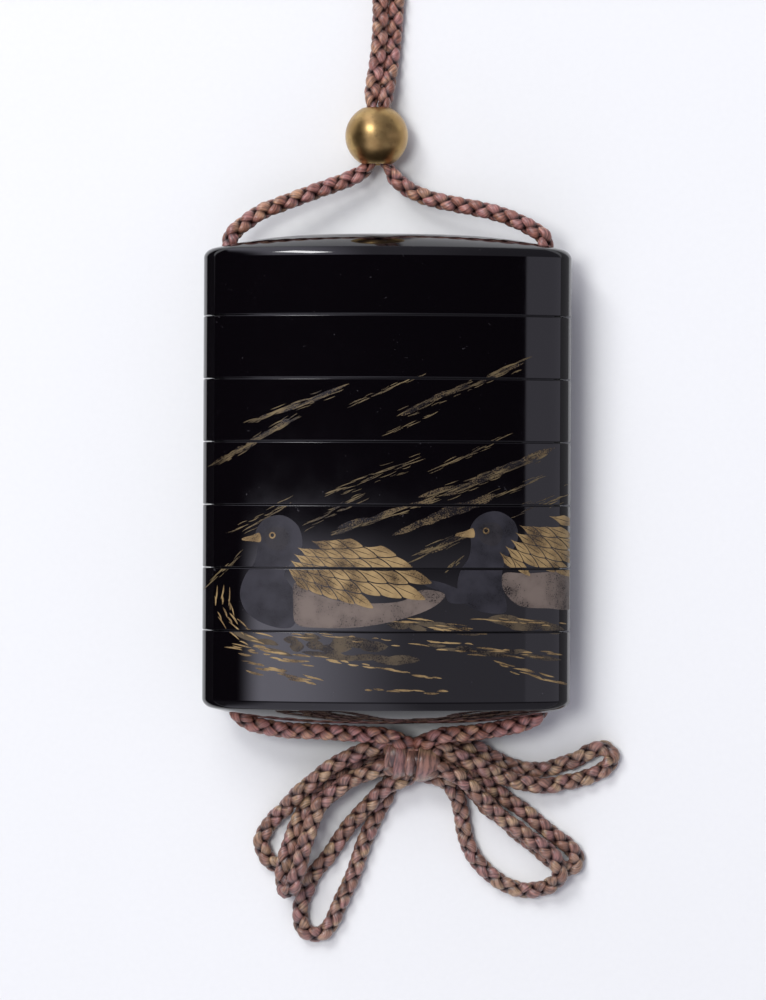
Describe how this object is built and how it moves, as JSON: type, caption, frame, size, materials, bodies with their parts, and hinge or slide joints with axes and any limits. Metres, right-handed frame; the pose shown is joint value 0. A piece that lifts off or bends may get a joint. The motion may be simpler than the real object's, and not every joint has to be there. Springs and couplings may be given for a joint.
{
  "type": "inro case",
  "caption": "Flat oval lacquered case of stacked nesting sections with gold waterfowl on its front, strung on a braided silk cord with a metal bead and a wrapped bow",
  "frame": {"origin": "centre of the case's outline, on the surface that the case lies on, under the flat strip along its back", "axes": "+X to the case's right side, +Y along the stack from the bottom case to the lid, +Z out of the decorated front"},
  "size_m": [0.0762, 0.2492, 0.0258],
  "materials": {
    "lacquer": "polished black lacquer with a gold, silver and grey picture",
    "bead_metal": "satin patinated bronze",
    "silk_cord": "braided silk in golden tan, brown and mauve"
  },
  "bodies": {
    "root": {"lid": "lacquer", "middle_case_1": "lacquer", "middle_case_2": "lacquer", "middle_case_3": "lacquer", "middle_case_4": "lacquer", "middle_case_5": "lacquer", "bottom_case": "lacquer", "bead": "bead_metal", "knot": "silk_cord", "cord_left_in_bead": "silk_cord", "cord_right_in_bead": "silk_cord", "cord_in_left_channel": "silk_cord", "cord_in_right_channel": "silk_cord", "top_left_run": "silk_cord", "top_right_run": "silk_cord", "bottom_left_run": "silk_cord", "bottom_right_run": "silk_cord", "carrying_loop": "silk_cord", "bow_loop_upper_left": "silk_cord", "bow_loop_middle_left": "silk_cord", "bow_loop_lower_left": "silk_cord", "bow_loop_upper_right": "silk_cord", "bow_loop_middle_right": "silk_cord", "bow_loop_lower_right": "silk_cord"}
  },
  "joints": []
}
